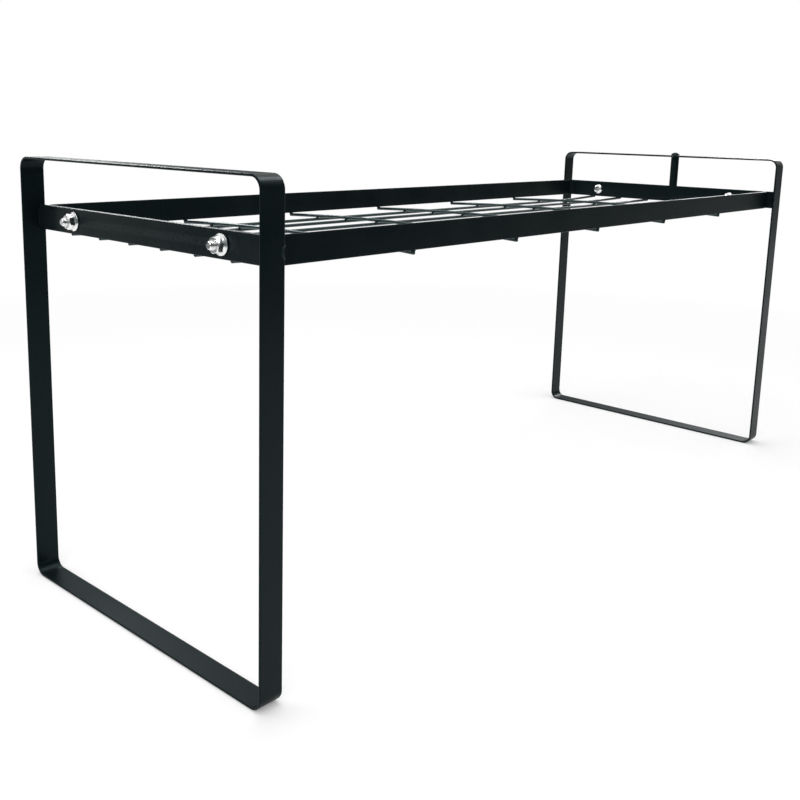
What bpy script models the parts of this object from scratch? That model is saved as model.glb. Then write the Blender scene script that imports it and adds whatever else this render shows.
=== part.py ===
"""Shelf organizer: a wire tray held up between two closed flat-bar hoops.

Metres, +Z up. X runs along the length, Y from front to rear, and the origin is
on the ground under the middle of the shelf.
"""

import math

import bmesh
import bpy
from mathutils import Matrix, Vector

# Overall size, over the hoops
OVERALL_LENGTH = 0.670
OVERALL_DEPTH = 0.235
OVERALL_HEIGHT = 0.286

# Hoops: flat bar bent the easy way into a closed rounded rectangle
HOOP_BAR_WIDTH = 0.016
HOOP_BAR_THICKNESS = 0.0015
HOOP_BEND_RADIUS = 0.008
HOOP_EDGE_ROUNDING = 0.0005

# Crossbars: flat bar on edge between the legs of each hoop, set in from its inner edge
CROSSBAR_HEIGHT = 0.016
CROSSBAR_THICKNESS = 0.0015
CROSSBAR_EDGE_ROUNDING = 0.0005
CROSSBAR_INSET = 0.003

# Tray rim: flat bar on edge, bent into a closed rounded rectangle, its top edge
# a guard's rise below the tops of the hoops
GUARD_RISE = 0.031
RIM_HEIGHT = 0.016
RIM_THICKNESS = 0.0015
RIM_BEND_RADIUS = 0.006
RIM_EDGE_ROUNDING = 0.0005
RIM_SIDE_CLEARANCE = 0.0055

# Wire floor: cross wires run under the rim's sides and bow up to a crown between
# them, long wires lie under the cross wires with their ends sunk into the rim
LONG_WIRE_COUNT = 6
CROSS_WIRE_COUNT = 5
CROSS_WIRE_PITCH = 0.1055
WIRE_DIAMETER = 0.0024
FLOOR_CROWN = 0.003
WIRE_SINK = 0.0008
WIRE_END_CHAMFER = 0.0003

# Machine screws: pan heads inside the tray, shanks out through the crossbars
SCREW_INSET = 0.0375
SCREW_DIAMETER = 0.005
SCREW_LENGTH = 0.0125
SCREW_END_CHAMFER = 0.0008
HEAD_DIAMETER = 0.0102
HEAD_HEIGHT = 0.0037
HEAD_RIM_HEIGHT = 0.0011
HEAD_LAND_DIAMETER = 0.0052
RECESS_SPAN = 0.0050
RECESS_SLOT_WIDTH = 0.0011
RECESS_DEPTH = 0.0020
RECESS_FLOOR_SPAN = 0.0026

# Flange nuts on the outer faces of the crossbars
NUT_ACROSS_FLATS = 0.0086
NUT_HEIGHT = 0.0053
NUT_TOP_CHAMFER = 0.0004
FLANGE_DIAMETER = 0.0121
FLANGE_EDGE_HEIGHT = 0.0010
FLANGE_CONE_HEIGHT = 0.0021

# Guard post in the upper window of the right hoop, riveted through its top bar
POST_DIAMETER = 0.008
POST_OFFSET = 0.009
TENON_DIAMETER = 0.0052
RIVET_HEAD_DIAMETER = 0.0086
RIVET_HEAD_HEIGHT = 0.0028
POST_FOOT_CHAMFER = 0.0005

# Clearances
SEAT_GAP = 0.0003
SCREW_HOLE_CLEARANCE = 0.0003
CUT_OVERRUN = 0.002

# Smoothness of the round forms
BEND_SEGMENTS = 12
EDGE_SEGMENTS = 2
CROWN_STEPS = 10
WIRE_END_STEPS = 5
WIRE_SIDES = 16
FASTENER_SIDES = 24
HOLE_SIDES = 24
DOME_STEPS = 5
HEXAGON_SIDES = 6
BEND_ANGLE = math.radians(30.0)
EDGE_ANGLE = math.radians(60.0)
SHARP_ANGLE = math.radians(40.0)
WELD_LIMIT = 0.000001

# Places that follow from the sizes above
HOOP_CENTRE_X = OVERALL_LENGTH / 2 - HOOP_BAR_WIDTH / 2
HOOP_INNER_EDGE_X = OVERALL_LENGTH / 2 - HOOP_BAR_WIDTH
LEG_INNER_FACE_Y = OVERALL_DEPTH / 2 - HOOP_BAR_THICKNESS
CROSSBAR_INNER_X = HOOP_INNER_EDGE_X + CROSSBAR_INSET
CROSSBAR_OUTER_X = CROSSBAR_INNER_X + CROSSBAR_THICKNESS
RIM_HALF_LENGTH = CROSSBAR_INNER_X - SEAT_GAP
RIM_HALF_DEPTH = LEG_INNER_FACE_Y - RIM_SIDE_CLEARANCE
TRAY_TOP_Z = OVERALL_HEIGHT - GUARD_RISE
RIM_BOTTOM_Z = TRAY_TOP_Z - RIM_HEIGHT
WIRE_RADIUS = WIRE_DIAMETER / 2
CROSS_WIRE_Z = RIM_BOTTOM_Z - SEAT_GAP - WIRE_RADIUS
LONG_WIRE_END_Z = RIM_BOTTOM_Z + WIRE_SINK - WIRE_RADIUS
LONG_WIRE_DROP = WIRE_DIAMETER + SEAT_GAP
LONG_WIRE_PITCH = 2 * RIM_HALF_DEPTH / (LONG_WIRE_COUNT + 1)
OUTER_CROSS_WIRE_X = CROSS_WIRE_PITCH * (CROSS_WIRE_COUNT - 1) / 2
RIM_INNER_X = RIM_HALF_LENGTH - RIM_THICKNESS
RIM_INNER_Y = RIM_HALF_DEPTH - RIM_THICKNESS
SCREW_Y = RIM_HALF_DEPTH - SCREW_INSET
SCREW_Z = TRAY_TOP_Z - RIM_HEIGHT / 2
SCREW_HOLE_DIAMETER = SCREW_DIAMETER + 2 * SCREW_HOLE_CLEARANCE

# Quarter turns that lay a piece modelled along Z on another axis
ALONG_X = (0, math.pi / 2, 0)
ALONG_MINUS_X = (0, -math.pi / 2, 0)
UPRIGHT = (0, 0, 0)


def clear_scene():
    for old in list(bpy.data.objects):
        bpy.data.objects.remove(old, do_unlink=True)


def make_material(name, colour, roughness, metallic):
    material = bpy.data.materials.new(name)
    material.use_nodes = True
    shader = material.node_tree.nodes["Principled BSDF"]
    shader.inputs["Base Color"].default_value = (*colour, 1.0)
    shader.inputs["Roughness"].default_value = roughness
    shader.inputs["Metallic"].default_value = metallic
    material.diffuse_color = (*colour, 1.0)
    return material


def mesh_from(bm, name):
    """Closes the bmesh into a mesh with its faces pointing out."""
    bmesh.ops.remove_doubles(bm, verts=bm.verts, dist=WELD_LIMIT)
    bmesh.ops.recalc_face_normals(bm, faces=bm.faces)
    mesh = bpy.data.meshes.new(name)
    bm.to_mesh(mesh)
    bm.free()
    return mesh


def place(name, mesh, material, location, rotation=UPRIGHT):
    piece = bpy.data.objects.new(name, mesh)
    piece.location = location
    piece.rotation_euler = rotation
    if material:
        mesh.materials.clear()
        mesh.materials.append(material)
    bpy.context.collection.objects.link(piece)
    return piece


def place_cutter(name, mesh, location, rotation=UPRIGHT):
    cutter = place(name, mesh, None, location, rotation)
    cutter.hide_render = True
    cutter.display_type = 'WIRE'
    return cutter


def boolean(piece, other, operation):
    step = piece.modifiers.new(other.name, 'BOOLEAN')
    step.operation = operation
    step.solver = 'EXACT'
    step.object = other


def settle(pieces, cutters):
    """Turns each piece's modifiers into plain mesh and takes the cutters away."""
    graph = bpy.context.evaluated_depsgraph_get()
    settled = [bpy.data.meshes.new_from_object(piece.evaluated_get(graph)) for piece in pieces]
    for piece, mesh in zip(pieces, settled):
        mesh.name = piece.name
        piece.modifiers.clear()
        piece.data = mesh
    for cutter in cutters:
        bpy.data.objects.remove(cutter, do_unlink=True)


def soften(pieces):
    for piece in pieces:
        piece.data.shade_smooth()
        piece.data.set_sharp_from_angle(angle=SHARP_ANGLE)


def turned(name, profile, sides):
    """A solid of revolution about Z from (radius, height) points."""
    bm = bmesh.new()
    points = [bm.verts.new((radius, 0, height)) for radius, height in profile]
    line = [bm.edges.new(pair) for pair in zip(points, points[1:])]
    bmesh.ops.spin(bm, geom=points + line, cent=(0, 0, 0), axis=(0, 0, 1),
                   angle=2 * math.pi, steps=sides, use_duplicate=False)
    return mesh_from(bm, name)


def rod(name, diameter, length, sides):
    """A plain rod centred on the origin along Z."""
    radius = diameter / 2
    half = length / 2
    return turned(name, [(0, -half), (radius, -half), (radius, half), (0, half)], sides)


def wire(name, half_length, stations, turn, rise):
    """A wire with chamfered ends, turned from Z and then lifted by the rise at each place."""
    narrow = WIRE_RADIUS - WIRE_END_CHAMFER
    profile = [(0, -half_length), (narrow, -half_length)]
    profile += [(WIRE_RADIUS, station) for station in stations]
    profile += [(narrow, half_length), (0, half_length)]
    mesh = turned(name, profile, WIRE_SIDES)
    mesh.transform(turn)
    for point in mesh.vertices:
        point.co.z += rise(point.co)
    return mesh


def prism(name, outline, length, taper=1):
    """An outline in XY drawn up along Z, its far end scaled by the taper."""
    bm = bmesh.new()
    base = bm.faces.new([bm.verts.new((x, y, 0)) for x, y in outline])
    swept = bmesh.ops.extrude_face_region(bm, geom=[base])
    far = [item for item in swept["geom"] if isinstance(item, bmesh.types.BMVert)]
    bmesh.ops.scale(bm, vec=(taper, taper, 1), verts=far)
    bmesh.ops.translate(bm, vec=(0, 0, length), verts=far)
    return mesh_from(bm, name)


def bent_ring(name, material, location, rotation, size, bar, bend_radius, edge_rounding):
    """Flat bar bent the easy way round a rectangle, its width along local Z."""
    width, depth = size
    bar_width, bar_thickness = bar
    bm = bmesh.new()
    corners = [(-width / 2, -depth / 2), (width / 2, -depth / 2),
               (width / 2, depth / 2), (-width / 2, depth / 2)]
    lower = [bm.verts.new((x, y, -bar_width / 2)) for x, y in corners]
    upper = [bm.verts.new((x, y, bar_width / 2)) for x, y in corners]
    for here in range(len(corners)):
        after = (here + 1) % len(corners)
        bm.faces.new((lower[here], lower[after], upper[after], upper[here]))
    mesh = bpy.data.meshes.new(name)
    bm.to_mesh(mesh)
    bm.free()
    ring = place(name, mesh, material, location, rotation)
    add_bevel(ring, "bends", bend_radius, BEND_SEGMENTS, BEND_ANGLE)
    wall = ring.modifiers.new("bar thickness", 'SOLIDIFY')
    wall.thickness = bar_thickness
    wall.offset = -1
    wall.use_even_offset = True
    add_bevel(ring, "rounded edges", edge_rounding, EDGE_SEGMENTS, EDGE_ANGLE)
    return ring


def add_bevel(piece, name, width, segments, angle):
    bevel = piece.modifiers.new(name, 'BEVEL')
    bevel.width = width
    bevel.segments = segments
    bevel.limit_method = 'ANGLE'
    bevel.angle_limit = angle
    bevel.use_clamp_overlap = False


def make_hoop(name, material, side):
    """A standing hoop: foot bar on the ground, two legs and a top bar."""
    return bent_ring(name, material, (side * HOOP_CENTRE_X, 0, OVERALL_HEIGHT / 2), ALONG_X,
                     (OVERALL_HEIGHT, OVERALL_DEPTH), (HOOP_BAR_WIDTH, HOOP_BAR_THICKNESS),
                     HOOP_BEND_RADIUS, HOOP_EDGE_ROUNDING)


def make_crossbar(name, material, side):
    """Flat bar on edge between a hoop's legs, a little in from the hoop's inner edge."""
    half_length = LEG_INNER_FACE_Y - SEAT_GAP
    half_height = CROSSBAR_HEIGHT / 2
    outline = [(-half_length, -half_height), (half_length, -half_height),
               (half_length, half_height), (-half_length, half_height)]
    mesh = prism(name, outline, CROSSBAR_THICKNESS)
    mesh.transform(Matrix.Translation((0, 0, -CROSSBAR_THICKNESS / 2)))
    mesh.transform(Matrix.Rotation(math.pi / 2, 4, 'X'))
    mesh.transform(Matrix.Rotation(math.pi / 2, 4, 'Z'))
    centre = (side * (CROSSBAR_OUTER_X - CROSSBAR_THICKNESS / 2), 0, TRAY_TOP_Z - half_height)
    crossbar = place(name, mesh, material, centre)
    add_bevel(crossbar, "rounded edges", CROSSBAR_EDGE_ROUNDING, EDGE_SEGMENTS, EDGE_ANGLE)
    return crossbar


def make_rim(name, material):
    return bent_ring(name, material, (0, 0, RIM_BOTTOM_Z + RIM_HEIGHT / 2), UPRIGHT,
                     (2 * RIM_HALF_LENGTH, 2 * RIM_HALF_DEPTH), (RIM_HEIGHT, RIM_THICKNESS),
                     RIM_BEND_RADIUS, RIM_EDGE_ROUNDING)


def row(count, pitch):
    """Evenly pitched places centred on zero."""
    return [(index - (count - 1) / 2) * pitch for index in range(count)]


def crown(y):
    """Height of a cross wire over its own ends."""
    share = min(abs(y) / RIM_INNER_Y, 1)
    return FLOOR_CROWN * (1 - share ** 2)


def make_cross_wires(material):
    """Wires along Y, level under the rim's sides and bowed up between them."""
    end = RIM_HALF_DEPTH - WIRE_END_CHAMFER
    bow = [RIM_INNER_Y * (2 * step / CROWN_STEPS - 1) for step in range(CROWN_STEPS + 1)]
    turn = Matrix.Rotation(-math.pi / 2, 4, 'X')
    mesh = wire("cross_wire", RIM_HALF_DEPTH, [-end, *bow, end], turn, lambda point: crown(point.y))
    return [place(f"cross_wire_{number}", mesh.copy(), material, (x, 0, CROSS_WIRE_Z))
            for number, x in enumerate(row(CROSS_WIRE_COUNT, CROSS_WIRE_PITCH), start=1)]


def make_long_wires(material):
    """Wires along X under the cross wires, their ends rising into the rim's notches."""
    end = RIM_HALF_LENGTH - WIRE_END_CHAMFER
    reach = RIM_INNER_X - OUTER_CROSS_WIRE_X
    far = [OUTER_CROSS_WIRE_X + reach * step / WIRE_END_STEPS for step in range(WIRE_END_STEPS + 1)]
    stations = [-end, *(-x for x in reversed(far)), *far, end]
    turn = Matrix.Rotation(math.pi / 2, 4, 'Y')
    wires = []
    for number, y in enumerate(row(LONG_WIRE_COUNT, LONG_WIRE_PITCH), start=1):
        middle_z = CROSS_WIRE_Z + crown(y) - LONG_WIRE_DROP
        lift = LONG_WIRE_END_Z - middle_z

        def rise(point):
            share = min(max(abs(point.x) - OUTER_CROSS_WIRE_X, 0) / reach, 1)
            return lift * share ** 2

        mesh = wire("long_wire", RIM_HALF_LENGTH, stations, turn, rise)
        wires.append(place(f"long_wire_{number}", mesh, material, (0, y, middle_z)))
    return wires


def make_notches(side):
    """Notches in the bottom edge of the rim's end, one over the end of each long wire."""
    tools = []
    for y in row(LONG_WIRE_COUNT, LONG_WIRE_PITCH):
        mesh = rod("notch", WIRE_DIAMETER + 2 * SEAT_GAP, RIM_THICKNESS + 2 * CUT_OVERRUN, WIRE_SIDES)
        x = side * (RIM_HALF_LENGTH - RIM_THICKNESS / 2)
        tools.append(place_cutter("notch", mesh, (x, y, LONG_WIRE_END_Z), ALONG_X))
    return tools


def screw_mesh():
    """Pan-head machine screw, its head's underside at zero and the shank down -Z."""
    shank = SCREW_DIAMETER / 2
    edge = HEAD_DIAMETER / 2
    land = HEAD_LAND_DIAMETER / 2
    profile = [(0, -SCREW_LENGTH), (shank - SCREW_END_CHAMFER, -SCREW_LENGTH),
               (shank, SCREW_END_CHAMFER - SCREW_LENGTH), (shank, 0), (edge, 0)]
    for step in range(DOME_STEPS + 1):
        swing = math.pi / 2 * step / DOME_STEPS
        profile.append((land + (edge - land) * math.cos(swing),
                        HEAD_RIM_HEIGHT + (HEAD_HEIGHT - HEAD_RIM_HEIGHT) * math.sin(swing)))
    profile.append((0, HEAD_HEIGHT))
    return turned("screw", profile, FASTENER_SIDES)


def recess_mesh():
    """Tapered cross that a crosshead driver fits, opening upwards from its floor."""
    reach = RECESS_SPAN / 2
    half_slot = RECESS_SLOT_WIDTH / 2
    arm = [(reach, -half_slot), (reach, half_slot), (half_slot, half_slot)]
    outline = []
    for quarter in range(4):
        turn = Matrix.Rotation(math.pi / 2 * quarter, 2)
        outline += [tuple(turn @ Vector(point)) for point in arm]
    depth = RECESS_DEPTH + CUT_OVERRUN
    taper = RECESS_FLOOR_SPAN / RECESS_SPAN
    mesh = prism("recess", outline, -depth, taper)
    mesh.transform(Matrix.Translation((0, 0, depth)))
    return mesh


def make_screw(name, material, side, y):
    """The head's underside rests on the rim's inner face, the shank points out."""
    x = side * (RIM_INNER_X - SEAT_GAP)
    rotation = ALONG_MINUS_X if side > 0 else ALONG_X
    screw = place(name, screw_mesh(), material, (x, y, SCREW_Z), rotation)
    floor_x = x - side * (HEAD_HEIGHT - RECESS_DEPTH)
    recess = place_cutter(name + "_recess", recess_mesh(), (floor_x, y, SCREW_Z), rotation)
    boolean(screw, recess, 'DIFFERENCE')
    return screw, recess


def make_nut(name, material, side, y):
    """Flange nut with its flange on the crossbar's outer face."""
    x = side * (CROSSBAR_OUTER_X + SEAT_GAP)
    rotation = ALONG_X if side > 0 else ALONG_MINUS_X
    corner = NUT_ACROSS_FLATS / 2 / math.cos(math.pi / HEXAGON_SIDES)
    outline = [(corner * math.cos(2 * math.pi * step / HEXAGON_SIDES),
                corner * math.sin(2 * math.pi * step / HEXAGON_SIDES)) for step in range(HEXAGON_SIDES)]
    chamfer_edge = corner - NUT_TOP_CHAMFER
    hexagon = prism(name, outline, NUT_HEIGHT)
    nut = place(name, hexagon, material, (x, y, SCREW_Z), rotation)
    crown = turned(name + "_crown", [(0, 0), (corner + CUT_OVERRUN, 0),
                                     (corner + CUT_OVERRUN, NUT_HEIGHT - NUT_TOP_CHAMFER - CUT_OVERRUN),
                                     (chamfer_edge, NUT_HEIGHT), (0, NUT_HEIGHT)], FASTENER_SIDES)
    flange = turned(name + "_flange", [(0, 0), (FLANGE_DIAMETER / 2, 0),
                                       (FLANGE_DIAMETER / 2, FLANGE_EDGE_HEIGHT),
                                       (NUT_ACROSS_FLATS / 2, FLANGE_CONE_HEIGHT),
                                       (0, FLANGE_CONE_HEIGHT)], FASTENER_SIDES)
    bore = rod(name + "_bore", SCREW_HOLE_DIAMETER, 2 * (NUT_HEIGHT + CUT_OVERRUN), HOLE_SIDES)
    steps = [(crown, 'INTERSECT'), (flange, 'UNION'), (bore, 'DIFFERENCE')]
    cutters = []
    for mesh, operation in steps:
        other = place_cutter(mesh.name, mesh, (x, y, SCREW_Z), rotation)
        boolean(nut, other, operation)
        cutters.append(other)
    return nut, cutters


def make_screw_hole(side, y):
    """One hole through the rim's end and the crossbar beside it."""
    mesh = rod("screw_hole", SCREW_HOLE_DIAMETER,
               CROSSBAR_THICKNESS + RIM_THICKNESS + 2 * CUT_OVERRUN, HOLE_SIDES)
    return place_cutter("screw_hole", mesh, (side * CROSSBAR_INNER_X, y, SCREW_Z), ALONG_X)


def make_post(name, material):
    """Turned post beside the crossbar, with a tenon riveted over the top bar."""
    radius = POST_DIAMETER / 2
    tenon = TENON_DIAMETER / 2
    head = RIVET_HEAD_DIAMETER / 2
    foot_z = TRAY_TOP_Z - CROSSBAR_HEIGHT
    shoulder_z = OVERALL_HEIGHT - HOOP_BAR_THICKNESS - SEAT_GAP - foot_z
    seat_z = OVERALL_HEIGHT + SEAT_GAP - foot_z
    profile = [(0, 0), (radius - POST_FOOT_CHAMFER, 0), (radius, POST_FOOT_CHAMFER),
               (radius, shoulder_z), (tenon, shoulder_z), (tenon, seat_z)]
    for step in range(DOME_STEPS + 1):
        swing = math.pi / 2 * step / DOME_STEPS
        profile.append((head * math.cos(swing), seat_z + RIVET_HEAD_HEIGHT * math.sin(swing)))
    mesh = turned(name, profile, FASTENER_SIDES)
    return place(name, mesh, material, (post_x(), -POST_OFFSET, foot_z))


def post_x():
    return CROSSBAR_OUTER_X + SEAT_GAP + POST_DIAMETER / 2


def make_post_hole():
    mesh = rod("post_hole", TENON_DIAMETER + 2 * SEAT_GAP,
               HOOP_BAR_THICKNESS + 2 * CUT_OVERRUN, HOLE_SIDES)
    z = OVERALL_HEIGHT - HOOP_BAR_THICKNESS / 2
    return place_cutter("post_hole", mesh, (post_x(), -POST_OFFSET, z))


def build():
    clear_scene()
    black = make_material("black powder coat", (0.018, 0.020, 0.020), 0.42, 0.0)
    zinc = make_material("bright zinc plate", (0.72, 0.72, 0.70), 0.24, 1.0)
    sides = (("left", -1), ("right", 1))

    hoops = {word: make_hoop(word + "_hoop", black, side) for word, side in sides}
    crossbars = {word: make_crossbar(word + "_crossbar", black, side) for word, side in sides}
    rim = make_rim("tray_rim", black)
    long_wires = make_long_wires(black)
    cross_wires = make_cross_wires(black)
    post = make_post("guard_post", black)
    fasteners = []
    cutters = []

    for word, side in sides:
        for notch in make_notches(side):
            boolean(rim, notch, 'DIFFERENCE')
            cutters.append(notch)
        for place_word, y in (("front", -SCREW_Y), ("rear", SCREW_Y)):
            where = place_word + "_" + word
            screw, recess = make_screw("screw_" + where, zinc, side, y)
            nut, nut_tools = make_nut("flange_nut_" + where, zinc, side, y)
            hole = make_screw_hole(side, y)
            boolean(rim, hole, 'DIFFERENCE')
            boolean(crossbars[word], hole, 'DIFFERENCE')
            fasteners += [screw, nut]
            cutters += [recess, hole, *nut_tools]

    post_hole = make_post_hole()
    boolean(hoops["right"], post_hole, 'DIFFERENCE')
    cutters.append(post_hole)

    pieces = [*hoops.values(), *crossbars.values(), rim, *long_wires, *cross_wires, post, *fasteners]
    settle(pieces, cutters)
    soften(pieces)

    shelf = bpy.data.objects.new("shelf_organizer", None)
    bpy.context.collection.objects.link(shelf)
    for piece in pieces:
        piece.parent = shelf


build()
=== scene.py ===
"""Shelf organizer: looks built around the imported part, in metres, in the part's own frame."""
import math
import random

import bmesh
import bpy
from mathutils import Matrix, Vector


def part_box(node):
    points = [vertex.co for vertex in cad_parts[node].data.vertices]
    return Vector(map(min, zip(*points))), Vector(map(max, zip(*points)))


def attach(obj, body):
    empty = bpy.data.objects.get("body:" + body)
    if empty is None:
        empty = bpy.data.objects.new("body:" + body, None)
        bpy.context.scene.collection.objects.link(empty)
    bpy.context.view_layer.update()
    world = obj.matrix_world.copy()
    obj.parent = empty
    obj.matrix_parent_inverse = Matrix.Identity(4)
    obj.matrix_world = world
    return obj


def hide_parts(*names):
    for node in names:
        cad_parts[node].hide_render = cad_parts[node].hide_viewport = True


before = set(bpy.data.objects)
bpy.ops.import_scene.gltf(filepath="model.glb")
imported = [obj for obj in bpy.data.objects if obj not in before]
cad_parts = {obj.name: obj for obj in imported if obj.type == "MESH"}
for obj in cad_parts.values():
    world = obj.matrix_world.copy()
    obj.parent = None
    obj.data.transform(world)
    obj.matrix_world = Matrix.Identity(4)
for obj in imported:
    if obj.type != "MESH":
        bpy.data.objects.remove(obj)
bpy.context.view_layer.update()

BODY = "root"
ENDS = {"left": -1, "right": 1}
SIDES = {"front": -1, "rear": 1}
LONG_WIRE_COUNT = 6
CROSS_WIRE_COUNT = 5

# Camera, fitted to the photograph's outline: its place in metres, its turns in radians,
# and the size, focal length and optical centre of the picture in pixels
CAMERA_PLACE = (-0.643638, -0.473238, 0.309886)
CAMERA_YAW = -0.81921
CAMERA_PITCH = -0.18661
CAMERA_ROLL = 0.02154
PICTURE_SIZE = 800
FOCAL_PIXELS = 972.344
CENTRE_PIXELS = (361.0, 309.0537)
SENSOR_WIDTH = 36.0
CLIP_START = 0.01
CLIP_END = 50.0

# Floor: just under the feet, with a glow that the picture and reflections see, and fading
# to plain white between two distances from the middle
FLOOR_REACH = 20.0
FLOOR_DROP = 0.0002
FLOOR_TONE = (0.82, 0.82, 0.82, 1.0)
FLOOR_ROUGHNESS = 0.9
FLOOR_GLOW = 0.18
FLOOR_FADE = (0.5, 1.2)

# Studio: the world's strength as light, upright dark cards, and lamps
WHITE = (1.0, 1.0, 1.0, 1.0)
WORLD_LIGHT = 0.72
FLAG_TONE = (0.036, 0.055, 0.058, 1.0)
FLAG_ROUGHNESS = 0.8
FLAGS = (  # name, start and stop of the lower edge, height
    ("front flag", (-1.2, -0.8), (3.0, -0.8), 1.0),
    ("left flag", (-1.2, -0.8), (-1.2, 1.6), 0.8),
    ("rear flag", (-0.4, 1.6), (5.0, 1.6), 0.95),
)
LAMPS = (  # name, place, target, size, watts, whether it makes highlights only
    ("top softbox", (0.0, 0.1, 1.5), (0.0, 0.0, 0.2), (1.4, 0.6), 8.0, False),
    ("left softbox", (-1.5, -0.6, 0.9), (0.0, 0.0, 0.15), (1.0, 1.0), 6.0, False),
    ("rear edge lamp", (-0.07, 0.6, 0.62), (-0.32, 0.0, 0.25), (0.2, 0.24), 2.1, True),
    ("bend lamp", (0.27, -0.17, 0.95), (-0.33, -0.12, 0.28), (0.3, 0.12), 1.6, True),
    ("right edge lamp", (1.10, 0.14, 0.58), (0.2, -0.1, 0.25), (0.25, 0.15), 3.0, True),
)

# Textures: the range that noise mostly stays in, and the detail of fine and cloudy noise
NOISE_RANGE = (0.3, 0.7)
FINE_DETAIL = 2.0
CLOUDY_DETAIL = 3.0

# Powder coat: scales per metre; each bump is a strength and a height in metres
MOTTLE_SCALE = 28.0
GRAIN_SCALE = 650.0
PEEL_SCALE = 520.0
SPECK_SCALE = 170.0
COAT_TONES = ((0.0026, 0.0056, 0.0065), (0.0042, 0.0076, 0.0086))
SPECK_TONE = (0.020, 0.026, 0.027)
SPECK_EDGE = (0.02, 0.06)
SPECK_STRENGTH = 0.4
# Lighter convex edges: part rubbed wear, part a painted highlight that stands in for light
# catching the edges
EDGE_WEAR_AND_HIGHLIGHT_TONE = (0.050, 0.060, 0.061)
EDGE_WEAR_AND_HIGHLIGHT_POINTINESS = (0.56, 0.66)
EDGE_WEAR_AND_HIGHLIGHT_GRAIN = (0.2, 1.0)
EDGE_WEAR_AND_HIGHLIGHT_STRENGTH = 0.35
MOTTLE_ROUGHNESS = (0.31, 0.38)
GRAIN_ROUGHNESS = (-0.03, 0.04)
SPECULAR_TINT = (0.60, 0.98, 1.0, 1.0)
CLEAR_WEIGHT = 0.035
CLEAR_ROUGHNESS = 0.14
GRAIN_BUMP = (0.10, 0.00006)
PEEL_BUMP = (0.12, 0.00022)

# Its gloss: lower on the flat bars than on the wires and welds, where it runs thicker
BAR_SPECULAR = 0.1
THICK_SPECULAR = 0.5

# Zinc plate, in the same units
CLOUD_SCALE = 420.0
CLOUD_TONES = ((0.78, 0.79, 0.80), (0.90, 0.90, 0.89))
CLOUD_ROUGHNESS = (0.16, 0.26)
SCRATCH_SCALE = 1500.0
SCRATCH_STRETCH = (0.15, 1.0, 1.0)
SCRATCH_ROUGHNESS = (-0.03, 0.06)
SCRATCH_BUMP = (0.15, 0.00004)

# Screws
HEAD_HEIGHT = 0.0037
HEAD_RADIUS = 0.0051
HEAD_RIM_HEIGHT = 0.0010
HEAD_LAND_RADIUS = 0.0022
HEAD_EDGE_RADIUS = 0.00025
HEAD_EDGE_STEPS = 3
HEAD_DOME_STEPS = 12
RECESS_REACH = 0.0026
RECESS_HALF_SLOT = 0.00055
RECESS_FILLET = 0.00045
RECESS_FILLET_STEPS = 4
RECESS_DEPTH = 0.0020
RECESS_TIP_DEPTH = 1.15 * RECESS_DEPTH
RECESS_TAPER = 0.5
SCREW_RADIUS = 0.00248
SCREW_LENGTH = 0.0125
SCREW_END_CHAMFER = 0.0008
THREAD_PITCH = 0.0008
THREAD_DEPTH = 0.00045
THREAD_STEPS = 36
THREAD_START = 0.0005
THREAD_PROFILE = ((0.0, 0.0), (0.12, 0.0), (0.44, 1.0), (0.68, 1.0))  # shares of pitch and depth

# Flange nuts; the cone's points are distances out from the flats, and heights
NUT_SIDES = 6
NUT_ACROSS_FLATS = 0.0086
NUT_HEIGHT = 0.0053
NUT_EDGE_ROUNDING = 0.00025
NUT_EDGE_SEGMENTS = 3
NUT_CORNER_DROP = 0.00075
ROUND_PROFILE = 0.5
FLANGE_RADIUS = 0.00605
FLANGE_EDGE_HEIGHT = 0.0010
FLANGE_EDGE_STEPS = 6
FLANGE_CONE = ((0.0007, 0.0015), (0.0002, 0.0018), (-0.0004, 0.0023))
BORE_RADIUS = 0.0026
BORE_MOUTH_RADIUS = 0.0030

# Turns of each screw and nut about its own axis, in degrees
ROLLS = {
    "front_left": (18, 12),
    "rear_left": (63, 41),
    "front_right": (52, 25),
    "rear_right": (9, 3),
}

# Weld beads: radii along X, Y and Z, and the sides and steps of their meshes
WIRE_RADIUS = 0.0012
WIRE_GAP = 0.0003
NUGGET_RADII = (0.00125, 0.00125, 0.0007)
NUGGET_MESH = (12, 8)
RIM_SIDE_RADII = (0.0018, 0.0012, 0.00085)
RIM_END_RADII = (0.00105, 0.0018, 0.0012)
WIRE_END_MESH = (16, 10)
CORNER_RADII = (0.0008, 0.0007, 0.0062)
EDGE_RADII = (0.0013, 0.0010, 0.0050)
CROSSBAR_MESH = (20, 14)

# How far the beads at the wires' ends are set in from the rim's outer face
RIM_SIDE_INSET = 0.7 * RIM_SIDE_RADII[1]
RIM_END_INSET = 0.8 * RIM_END_RADII[0]

# Surface of the beads: ripples and lumps as shares of the radius
RIPPLES = 5
RIPPLE_SHARE = 0.08
RIPPLE_LEAN = 0.8
LUMP_SHARE = 0.02
WELD_SEED = 7

# Raised arcs on the legs at the crossbars' welds
TOE_RADII = (0.0018, 0.0031)
TOE_THICKNESS = 0.00024
TOE_WIDENING = 2.2
TOE_STEPS = 24
TOE_SIDES = 8

# Meshes
TURNED_SIDES = 64
CUT_OVERRUN = 0.002
MERGE_DISTANCE = 0.000001
SHARP_ANGLE = math.radians(32)


def link(obj):
    bpy.context.scene.collection.objects.link(obj)
    return obj


# Materials

def set_inputs(node, values):
    for name, value in values.items():
        node.inputs[name].default_value = value


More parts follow.
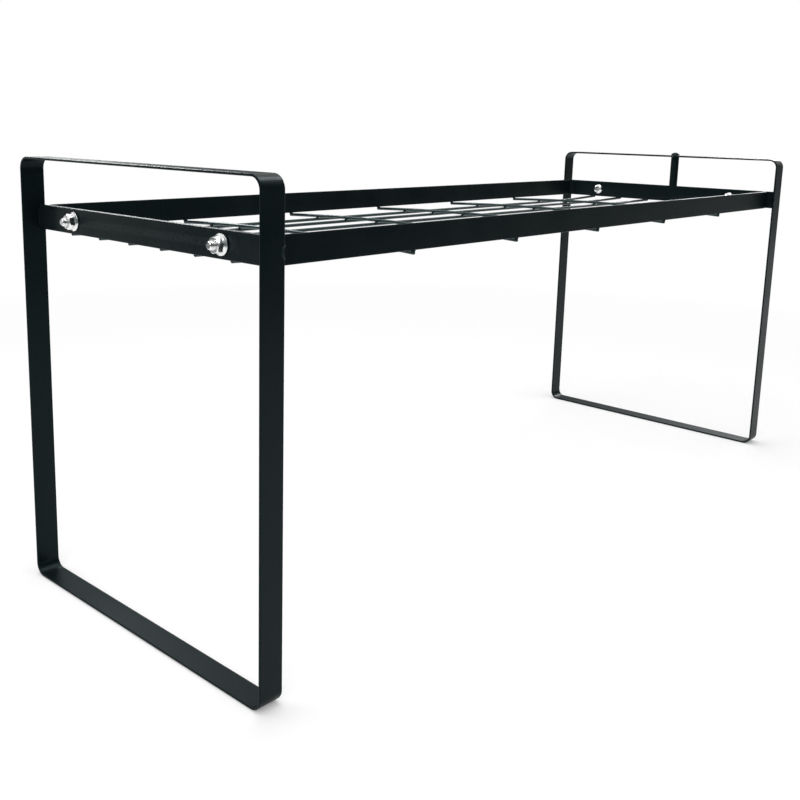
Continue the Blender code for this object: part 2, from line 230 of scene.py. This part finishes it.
class Graph:
    """Adds shader nodes to a tree and joins them."""

    def __init__(self, tree):
        self.tree = tree

    def add(self, kind, **values):
        node = self.tree.nodes.new(kind)
        for key, value in values.items():
            setattr(node, key, value)
        return node

    def join(self, source, target):
        self.tree.links.new(source, target)

    def math(self, kind, first, second):
        node = self.add("ShaderNodeMath", operation=kind)
        for socket, value in zip(node.inputs, (first, second)):
            if isinstance(value, float):
                socket.default_value = value
            else:
                self.join(value, socket)
        return node.outputs["Value"]

    def mix_shaders(self, factor, first, second):
        node = self.add("ShaderNodeMixShader")
        for source, socket in zip((factor, first, second), node.inputs):
            self.join(source, socket)
        return node.outputs["Shader"]

    def seen(self):
        """One for the picture, reflections and see-through surfaces, zero for plain light."""
        path = self.add("ShaderNodeLightPath")
        camera, glossy, transmission = (path.outputs[f"Is {kind} Ray"]
                                        for kind in ("Camera", "Glossy", "Transmission"))
        return self.math("MAXIMUM", self.math("MAXIMUM", camera, glossy), transmission)


class Surface(Graph):
    """The nodes of a new material, with textures in the object's own metres."""

    def __init__(self, name):
        self.material = bpy.data.materials.new(name)
        self.material.use_nodes = True
        super().__init__(self.material.node_tree)
        self.shader = self.tree.nodes["Principled BSDF"]
        self.place = self.add("ShaderNodeTexCoord").outputs["Object"]

    def noise(self, scale, detail, stretch=None):
        node = self.add("ShaderNodeTexNoise")
        set_inputs(node, {"Scale": scale, "Detail": detail})
        place = self.place
        if stretch:
            mapping = self.add("ShaderNodeMapping")
            mapping.inputs["Scale"].default_value = stretch
            self.join(place, mapping.inputs["Vector"])
            place = mapping.outputs["Vector"]
        self.join(place, node.inputs["Vector"])
        return node.outputs["Fac"]

    def cells(self, scale, feature="F1"):
        node = self.add("ShaderNodeTexVoronoi", feature=feature)
        node.inputs["Scale"].default_value = scale
        self.join(self.place, node.inputs["Vector"])
        return node.outputs["Distance"]

    def spread(self, source, low, high, limits=NOISE_RANGE):
        """Maps the source's range between the limits onto low to high."""
        node = self.add("ShaderNodeMapRange")
        set_inputs(node, {"From Min": limits[0], "From Max": limits[1],
                          "To Min": low, "To Max": high})
        self.join(source, node.inputs["Value"])
        return node.outputs["Result"]

    def blend(self, factor, first, second):
        """Mixes two colours, each a tuple or a socket."""
        node = self.add("ShaderNodeMix", data_type="RGBA")
        colours = [socket for socket in node.inputs if socket.type == "RGBA"]
        result, = (socket for socket in node.outputs if socket.type == "RGBA")
        self.join(factor, node.inputs["Factor"])
        for socket, value in zip(colours, (first, second)):
            if isinstance(value, tuple):
                socket.default_value = (*value, 1.0)
            else:
                self.join(value, socket)
        return result

    def bump(self, height, relief, under=None):
        node = self.add("ShaderNodeBump")
        strength, distance = relief
        set_inputs(node, {"Strength": strength, "Distance": distance})
        self.join(height, node.inputs["Height"])
        if under:
            self.join(under, node.inputs["Normal"])
        return node.outputs["Normal"]


def powder_coat(name, specular):
    """Satin black powder coat with orange peel, mottling, fine specks, and lighter edges that are
    part rubbed wear and part painted highlight.
    """
    g = Surface(name)
    mottle = g.noise(MOTTLE_SCALE, CLOUDY_DETAIL)
    grain = g.noise(GRAIN_SCALE, FINE_DETAIL)
    peel = g.cells(PEEL_SCALE, "SMOOTH_F1")
    tone = g.blend(g.spread(mottle, 0.0, 1.0), *COAT_TONES)
    speck = g.spread(g.cells(SPECK_SCALE), 1.0, 0.0, SPECK_EDGE)
    tone = g.blend(g.math("MULTIPLY", speck, SPECK_STRENGTH), tone, SPECK_TONE)
    # Painted highlight with rubbed wear: a lighter tone on convex edges, broken up by grain
    edge = g.add("ShaderNodeNewGeometry").outputs["Pointiness"]
    wear_and_highlight = g.math("MULTIPLY", g.spread(edge, 0.0, 1.0, EDGE_WEAR_AND_HIGHLIGHT_POINTINESS),
                    g.spread(grain, *EDGE_WEAR_AND_HIGHLIGHT_GRAIN))
    tone = g.blend(g.math("MULTIPLY", wear_and_highlight, EDGE_WEAR_AND_HIGHLIGHT_STRENGTH), tone, EDGE_WEAR_AND_HIGHLIGHT_TONE)
    g.join(tone, g.shader.inputs["Base Color"])
    rough = g.math("ADD", g.spread(mottle, *MOTTLE_ROUGHNESS), g.spread(grain, *GRAIN_ROUGHNESS))
    g.join(rough, g.shader.inputs["Roughness"])
    set_inputs(g.shader, {
        "Specular IOR Level": specular,
        "Specular Tint": SPECULAR_TINT,
        "Coat Weight": CLEAR_WEIGHT,
        "Coat Roughness": CLEAR_ROUGHNESS,
    })
    g.join(g.bump(peel, PEEL_BUMP, g.bump(grain, GRAIN_BUMP)), g.shader.inputs["Normal"])
    return g.material


def zinc_plate():
    """Bright zinc plate, slightly cloudy, with fine turning marks."""
    g = Surface("zinc plate")
    cloud = g.noise(CLOUD_SCALE, CLOUDY_DETAIL)
    scratch = g.noise(SCRATCH_SCALE, FINE_DETAIL, SCRATCH_STRETCH)
    g.join(g.blend(g.spread(cloud, 0.0, 1.0), *CLOUD_TONES), g.shader.inputs["Base Color"])
    rough = g.math("ADD", g.spread(cloud, *CLOUD_ROUGHNESS),
                   g.spread(scratch, *SCRATCH_ROUGHNESS))
    g.join(rough, g.shader.inputs["Roughness"])
    g.shader.inputs["Metallic"].default_value = 1.0
    g.join(g.bump(scratch, SCRATCH_BUMP), g.shader.inputs["Normal"])
    return g.material


def paint(obj, material):
    """Gives every material slot of the object this material."""
    if not obj.material_slots:
        obj.data.materials.append(material)
    for holder in obj.material_slots:
        holder.material = material


def paint_piece(obj, material):
    """Paints a new piece and hangs it on the body that it rides on."""
    paint(obj, material)
    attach(obj, BODY)


# Shapes

def smooth(mesh):
    mesh.shade_smooth()
    mesh.set_sharp_from_angle(angle=SHARP_ANGLE)


def clean(bm):
    bmesh.ops.remove_doubles(bm, verts=bm.verts, dist=MERGE_DISTANCE)
    bmesh.ops.dissolve_degenerate(bm, edges=bm.edges, dist=MERGE_DISTANCE)


def to_object(bm, name):
    clean(bm)
    bmesh.ops.recalc_face_normals(bm, faces=bm.faces)
    mesh = bpy.data.meshes.new(name)
    bm.to_mesh(mesh)
    bm.free()
    smooth(mesh)
    return link(bpy.data.objects.new(name, mesh))


def carve(obj, *steps):
    """Runs exact booleans with the tools, which are then taken away."""
    for operation, tool in steps:
        step = obj.modifiers.new(tool.name, "BOOLEAN")
        step.operation = operation
        step.solver = "EXACT"
        step.object = tool
    graph = bpy.context.evaluated_depsgraph_get()
    mesh = bpy.data.meshes.new_from_object(obj.evaluated_get(graph))
    obj.modifiers.clear()
    obj.data = mesh
    smooth(mesh)
    for _, tool in steps:
        bpy.data.objects.remove(tool, do_unlink=True)
    return obj


def skin(bm, rows):
    """Joins rings of vertices into a tube."""
    for low, high in zip(rows, rows[1:]):
        for here in range(len(low)):
            after = (here + 1) % len(low)
            bm.faces.new((low[here], low[after], high[after], high[here]))


def lathe(name, profile):
    """Solid turned about Z from (radius, height) points that start and end on the axis."""
    bm = bmesh.new()
    points = [bm.verts.new((radius, 0, height)) for radius, height in profile]
    line = [bm.edges.new(pair) for pair in zip(points, points[1:])]
    bmesh.ops.spin(bm, geom=points + line, cent=(0, 0, 0), axis=(0, 0, 1),
                   angle=2 * math.pi, steps=TURNED_SIDES, use_duplicate=False)
    return to_object(bm, name)


def arc(centre, radius, start, stop, steps):
    """Points from one angle to another, in quarter turns."""
    angles = [math.pi / 2 * (start + (stop - start) * step / steps) for step in range(steps + 1)]
    return [(centre[0] + radius * math.cos(angle), centre[1] + radius * math.sin(angle))
            for angle in angles]


# Fasteners

def recess():
    """Tapered cross with rounded inner corners and a pointed floor."""
    corner = RECESS_HALF_SLOT + RECESS_FILLET
    outline = []
    for quarter in range(4):
        turn = Matrix.Rotation(math.pi / 2 * quarter, 2)
        arm = [(RECESS_REACH, -RECESS_HALF_SLOT), (RECESS_REACH, RECESS_HALF_SLOT)]
        arm += reversed(arc((corner, corner), RECESS_FILLET, 2, 3, RECESS_FILLET_STEPS))
        outline += [turn @ Vector(point) for point in arm]
    bm = bmesh.new()
    levels = ((1 + (1 - RECESS_TAPER) * CUT_OVERRUN / RECESS_DEPTH, CUT_OVERRUN),
              (RECESS_TAPER, -RECESS_DEPTH))
    top, floor = [[bm.verts.new((point[0] * scale, point[1] * scale, height)) for point in outline]
                  for scale, height in levels]
    skin(bm, (top, floor))
    bm.faces.new(top)
    tip = bm.verts.new((0, 0, -RECESS_TIP_DEPTH))
    for here, after in zip(floor, floor[1:] + floor[:1]):
        bm.faces.new((here, after, tip))
    tool = to_object(bm, "recess")
    tool.data.transform(Matrix.Translation((0, 0, HEAD_HEIGHT)))
    return tool


def thread(name, start, stop):
    """Helical thread up Z, from a buried start to a chamfered end."""
    turns = math.ceil((stop - start) / THREAD_PITCH) + 1
    bm = bmesh.new()
    rows = []
    for step in range(turns * THREAD_STEPS + 1):
        angle = 2 * math.pi * step / THREAD_STEPS
        base = start + (step / THREAD_STEPS - 1) * THREAD_PITCH
        row = []
        for share, crest in THREAD_PROFILE:
            height = min(max(base + share * THREAD_PITCH, start), stop)
            radius = min(SCREW_RADIUS - THREAD_DEPTH * (1 - crest),
                         SCREW_RADIUS - SCREW_END_CHAMFER + stop - height)
            row.append(bm.verts.new((radius * math.cos(angle), radius * math.sin(angle), height)))
        rows.append(row)
    for here, after in zip(rows, rows[1:]):
        for low in range(len(THREAD_PROFILE) - 1):
            bm.faces.new((here[low], after[low], after[low + 1], here[low + 1]))
    next_turn = rows[THREAD_STEPS:]
    for here, after, above, above_next in zip(rows, rows[1:], next_turn, next_turn[1:]):
        bm.faces.new((here[-1], after[-1], above_next[0], above[0]))
    clean(bm)
    bmesh.ops.holes_fill(bm, edges=[edge for edge in bm.edges if edge.is_boundary], sides=0)
    return to_object(bm, name)


def screw():
    """Pan-head crosshead screw: the head's underside at zero, the shank down Z."""
    edge = HEAD_EDGE_RADIUS
    rise = HEAD_HEIGHT - HEAD_RIM_HEIGHT
    reach = HEAD_RADIUS - HEAD_LAND_RADIUS
    profile = [(0, 0)]
    profile += arc((HEAD_RADIUS - edge, edge), edge, 3, 4, HEAD_EDGE_STEPS)
    profile += [(HEAD_LAND_RADIUS + reach * x, HEAD_RIM_HEIGHT + rise * z)
                for x, z in arc((0, 0), 1, 0, 1, HEAD_DOME_STEPS)]
    profile.append((0, HEAD_HEIGHT))
    head = carve(lathe("screw", profile), ("DIFFERENCE", recess()))
    shank = thread("shank", -THREAD_START, SCREW_LENGTH)
    shank.data.transform(Matrix.Rotation(math.pi, 4, "X"))
    bm = bmesh.new()
    for half in (head, shank):
        bm.from_mesh(half.data)
        bpy.data.objects.remove(half, do_unlink=True)
    mesh = bpy.data.meshes.new("screw")
    bm.to_mesh(mesh)
    bm.free()
    smooth(mesh)
    return mesh


def hexagon(corner):
    """Upright hexagonal bar with rounded edges between its flats."""
    bm = bmesh.new()
    bmesh.ops.create_cone(bm, cap_ends=True, segments=NUT_SIDES, radius1=corner, radius2=corner,
                          depth=NUT_HEIGHT, matrix=Matrix.Translation((0, 0, NUT_HEIGHT / 2)))
    uprights = [edge for edge in bm.edges
                if abs(edge.verts[0].co.z - edge.verts[1].co.z) > MERGE_DISTANCE]
    bmesh.ops.bevel(bm, geom=uprights, offset=NUT_EDGE_ROUNDING, offset_type="OFFSET",
                    segments=NUT_EDGE_SEGMENTS, profile=ROUND_PROFILE, affect="EDGES")
    return to_object(bm, "flange_nut")


def flange_nut():
    """Hexagon with chamfered corners on a conical flange, bored and countersunk."""
    flat = NUT_ACROSS_FLATS / 2
    corner = NUT_ACROSS_FLATS / math.sqrt(3)
    nut = hexagon(corner)
    face = flat - NUT_EDGE_ROUNDING
    slope = NUT_CORNER_DROP / (corner - face)
    wide = corner + CUT_OVERRUN
    crown = lathe("crown", [(0, -CUT_OVERRUN), (wide, -CUT_OVERRUN),
                            (wide, NUT_HEIGHT - slope * (wide - face)),
                            (face, NUT_HEIGHT), (0, NUT_HEIGHT)])
    edge = FLANGE_EDGE_HEIGHT / 2
    profile = [(0, 0)]
    profile += arc((FLANGE_RADIUS - edge, edge), edge, 3, 5, FLANGE_EDGE_STEPS)
    profile += [(flat + reach, height) for reach, height in FLANGE_CONE]
    profile.append((0, FLANGE_CONE[-1][1]))
    flange = lathe("flange", profile)
    mouth = BORE_MOUTH_RADIUS - BORE_RADIUS
    bore = lathe("bore", [(0, -CUT_OVERRUN), (BORE_RADIUS, -CUT_OVERRUN),
                          (BORE_RADIUS, NUT_HEIGHT - mouth),
                          (BORE_MOUTH_RADIUS + CUT_OVERRUN, NUT_HEIGHT + CUT_OVERRUN),
                          (0, NUT_HEIGHT + CUT_OVERRUN)])
    carve(nut, ("INTERSECT", crown), ("UNION", flange), ("DIFFERENCE", bore))
    mesh = nut.data
    bpy.data.objects.remove(nut, do_unlink=True)
    return mesh


def inner_reach(node):
    """How far along X the node's nearer side is from the middle of the shelf."""
    return min(abs(corner.x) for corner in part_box(node))


def outer_reach(node):
    """How far along X the node's farther side is from the middle of the shelf."""
    return max(abs(corner.x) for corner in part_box(node))


def fit(mesh, material, name, node, x, outward, roll):
    """Sets a copy of the fastener in its node's place, local Z along outward X."""
    low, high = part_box(node)
    obj = link(bpy.data.objects.new(name, mesh.copy()))
    seat = Matrix.Translation((x, (low.y + high.y) / 2, (low.z + high.z) / 2))
    lie = Matrix.Rotation(math.copysign(math.pi / 2, outward), 4, "Y")
    obj.data.transform(seat @ lie @ Matrix.Rotation(math.radians(roll), 4, "Z"))
    paint_piece(obj, material)
    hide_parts(node)


def add_fasteners(zinc):
    """Threaded screws and chamfered nuts in place of the plain ones."""
    screw_mesh = screw()
    nut_mesh = flange_nut()
    for end, side in ENDS.items():
        for place in SIDES:
            where = f"{place}_{end}"
            screw_roll, nut_roll = ROLLS[where]
            node = f"screw_{where}"
            underside = inner_reach(node) + HEAD_HEIGHT
            fit(screw_mesh, zinc, f"threaded_screw_{where}", node,
                side * underside, -side, screw_roll)
            node = f"flange_nut_{where}"
            fit(nut_mesh, zinc, f"chamfered_nut_{where}", node,
                side * inner_reach(node), side, nut_roll)


# Welds

def bead(bm, centre, radii, mesh_size, chance):
    """Lumpy ellipsoid whose surface swells in ripples along its longest way."""
    sides, steps = mesh_size
    axis = max(range(3), key=lambda index: radii[index])
    first, second = [index for index in range(3) if index != axis]
    rows = []
    for step in range(steps + 1):
        polar = math.pi * step / steps
        row = []
        for turn in range(sides):
            angle = 2 * math.pi * turn / sides
            swell = 1 + RIPPLE_SHARE * math.sin(RIPPLES * polar + RIPPLE_LEAN * math.cos(angle))
            swell += chance.uniform(-LUMP_SHARE, LUMP_SHARE)
            point = [0, 0, 0]
            point[axis] = -radii[axis] * math.cos(polar)
            point[first] = radii[first] * math.sin(polar) * math.cos(angle) * swell
            point[second] = radii[second] * math.sin(polar) * math.sin(angle) * swell
            row.append(bm.verts.new(Vector(centre) + Vector(point)))
        rows.append(row)
    skin(bm, rows)


def toe(bm, side, front, edge_x, face_y, z):
    """Thin raised arc where a bead's toe laps onto the leg's outer face."""
    proud = Vector((0, front, 0))
    rows = []
    for step in range(TOE_STEPS + 1):
        swing = math.pi * (step / TOE_STEPS - 0.5)
        middle = Vector((edge_x + side * TOE_RADII[0] * math.cos(swing), face_y,
                         z + TOE_RADII[1] * math.sin(swing)))
        out = Vector((side * math.cos(swing), 0, math.sin(swing)))
        row = []
        for turn in range(TOE_SIDES):
            angle = 2 * math.pi * turn / TOE_SIDES
            offset = TOE_WIDENING * out * math.cos(angle) + proud * math.sin(angle)
            row.append(bm.verts.new(middle + TOE_THICKNESS * offset))
        rows.append(row)
    skin(bm, rows)
    bm.faces.new(rows[0])
    bm.faces.new(rows[-1])


def add_wire_welds(bar_coat, thick_coat, chance):
    """Beads at the wires' crossings and at their ends on the rim."""
    rim_low, rim_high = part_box("tray_rim")
    long_wires = [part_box(f"long_wire_{count + 1}") for count in range(LONG_WIRE_COUNT)]
    cross_wires = [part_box(f"cross_wire_{count + 1}") for count in range(CROSS_WIRE_COUNT)]

    bm = bmesh.new()
    for low, high in cross_wires:
        x = (low.x + high.x) / 2
        for long_low, long_high in long_wires:
            y = (long_low.y + long_high.y) / 2
            z = long_low.z + 2 * WIRE_RADIUS + WIRE_GAP / 2
            bead(bm, (x, y, z), NUGGET_RADII, NUGGET_MESH, chance)
    paint_piece(to_object(bm, "crossing_welds"), thick_coat)

    bm = bmesh.new()
    for low, high in cross_wires:
        for side in SIDES.values():
            centre = ((low.x + high.x) / 2, side * (rim_high.y - RIM_SIDE_INSET),
                      rim_low.z - WIRE_GAP)
            bead(bm, centre, RIM_SIDE_RADII, WIRE_END_MESH, chance)
    for low, high in long_wires:
        for side in ENDS.values():
            centre = (side * (rim_high.x - RIM_END_INSET), (low.y + high.y) / 2,
                      rim_low.z + WIRE_GAP)
            bead(bm, centre, RIM_END_RADII, WIRE_END_MESH, chance)
    paint_piece(to_object(bm, "wire_end_welds"), bar_coat)


def add_crossbar_welds(bar_coat, thick_coat, chance):
    """Beads where the crossbars meet the legs, and their toes on the legs' outer faces."""
    for end, side in ENDS.items():
        crossbar, hoop = f"{end}_crossbar", f"{end}_hoop"
        low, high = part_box(crossbar)
        leg_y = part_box(hoop)[1].y
        z = (low.z + high.z) / 2
        bm = bmesh.new()
        for front in SIDES.values():
            centre = (side * outer_reach(crossbar), front * high.y, z)
            bead(bm, centre, CORNER_RADII, CROSSBAR_MESH, chance)
        paint_piece(to_object(bm, f"{end}_crossbar_fillets"), bar_coat)
        bm = bmesh.new()
        for front in SIDES.values():
            centre = (side * inner_reach(crossbar), front * high.y, z)
            bead(bm, centre, EDGE_RADII, CROSSBAR_MESH, chance)
            toe(bm, side, front, side * inner_reach(hoop), front * leg_y, z)
        paint_piece(to_object(bm, f"{end}_crossbar_welds"), thick_coat)


# Studio

def add_camera():
    forward = Vector((-math.sin(CAMERA_YAW) * math.cos(CAMERA_PITCH),
                      math.cos(CAMERA_YAW) * math.cos(CAMERA_PITCH), math.sin(CAMERA_PITCH)))
    level = Vector((math.cos(CAMERA_YAW), math.sin(CAMERA_YAW), 0))
    upward = level.cross(forward)
    right = math.cos(CAMERA_ROLL) * level + math.sin(CAMERA_ROLL) * upward
    top = math.cos(CAMERA_ROLL) * upward - math.sin(CAMERA_ROLL) * level
    data = bpy.data.cameras.new("camera")
    data.sensor_width = SENSOR_WIDTH
    data.lens = FOCAL_PIXELS * SENSOR_WIDTH / PICTURE_SIZE
    data.shift_x = (PICTURE_SIZE / 2 - CENTRE_PIXELS[0]) / PICTURE_SIZE
    data.shift_y = (CENTRE_PIXELS[1] - PICTURE_SIZE / 2) / PICTURE_SIZE
    data.clip_start = CLIP_START
    data.clip_end = CLIP_END
    camera = link(bpy.data.objects.new("camera", data))
    camera.matrix_world = (Matrix.Translation(CAMERA_PLACE)
                           @ Matrix((right, top, -forward)).transposed().to_4x4())
    bpy.context.scene.camera = camera


def set_world():
    """White as the picture and reflections see it, softer as light on the object."""
    world = bpy.data.worlds.new("studio")
    bpy.context.scene.world = world
    world.use_nodes = True
    g = Graph(world.node_tree)
    g.tree.nodes.clear()
    light, white = g.add("ShaderNodeBackground"), g.add("ShaderNodeBackground")
    set_inputs(light, {"Color": WHITE, "Strength": WORLD_LIGHT})
    set_inputs(white, {"Color": WHITE, "Strength": 1.0})
    mixed = g.mix_shaders(g.seen(), light.outputs["Background"], white.outputs["Background"])
    g.join(mixed, g.add("ShaderNodeOutputWorld").inputs["Surface"])


def add_floor():
    """Large pale floor under the feet, shaded near the object and plain white further off."""
    bm = bmesh.new()
    bmesh.ops.create_grid(bm, x_segments=1, y_segments=1, size=FLOOR_REACH)
    floor = to_object(bm, "floor")
    floor.location.z = -FLOOR_DROP
    g = Surface("pale floor")
    set_inputs(g.shader, {
        "Base Color": FLOOR_TONE,
        "Roughness": FLOOR_ROUGHNESS,
        "Specular IOR Level": 0.0,
        "Emission Color": WHITE,
    })
    seen = g.seen()
    g.join(g.math("MULTIPLY", seen, FLOOR_GLOW), g.shader.inputs["Emission Strength"])
    distance = g.add("ShaderNodeVectorMath", operation="LENGTH")
    g.join(g.place, distance.inputs[0])
    far = g.spread(distance.outputs["Value"], 0.0, 1.0, FLOOR_FADE)
    white = g.add("ShaderNodeEmission")
    white.inputs["Strength"].default_value = 1.0
    mixed = g.mix_shaders(g.math("MULTIPLY", far, seen), g.shader.outputs["BSDF"],
                          white.outputs["Emission"])
    g.join(mixed, g.tree.nodes["Material Output"].inputs["Surface"])
    paint(floor, g.material)


def add_flag(name, start, stop, height):
    """Upright dark card that only reflections see."""
    bm = bmesh.new()
    corners = [(*start, 0.0), (*stop, 0.0), (*stop, height), (*start, height)]
    bm.faces.new([bm.verts.new(corner) for corner in corners])
    flag = to_object(bm, name)
    g = Surface(name)
    set_inputs(g.shader, {"Base Color": FLAG_TONE, "Roughness": FLAG_ROUGHNESS})
    paint(flag, g.material)
    flag.visible_camera = False
    flag.visible_diffuse = False
    flag.visible_shadow = False
    flag.visible_transmission = False


def add_lamp(name, place, target, size, watts, highlights_only):
    """Rectangular lamp that the picture doesn't show."""
    data = bpy.data.lights.new(name, "AREA")
    data.shape = "RECTANGLE"
    data.size, data.size_y = size
    data.energy = watts
    lamp = link(bpy.data.objects.new(name, data))
    lamp.location = place
    lamp.rotation_euler = (Vector(target) - Vector(place)).to_track_quat("-Z", "Y").to_euler()
    lamp.visible_camera = False
    lamp.visible_diffuse = not highlights_only


bar_coat = powder_coat("powder coat", BAR_SPECULAR)
thick_coat = powder_coat("thick powder coat", THICK_SPECULAR)
zinc = zinc_plate()
for name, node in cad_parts.items():
    if name.startswith(("screw", "flange_nut")):
        paint(node, zinc)
    elif "wire" in name:
        paint(node, thick_coat)
    else:
        paint(node, bar_coat)
add_fasteners(zinc)
chance = random.Random(WELD_SEED)
add_wire_welds(bar_coat, thick_coat, chance)
add_crossbar_welds(bar_coat, thick_coat, chance)

add_camera()
set_world()
add_floor()
for flag in FLAGS:
    add_flag(*flag)
for lamp in LAMPS:
    add_lamp(*lamp)

bpy.context.scene.view_settings.view_transform = "Standard"
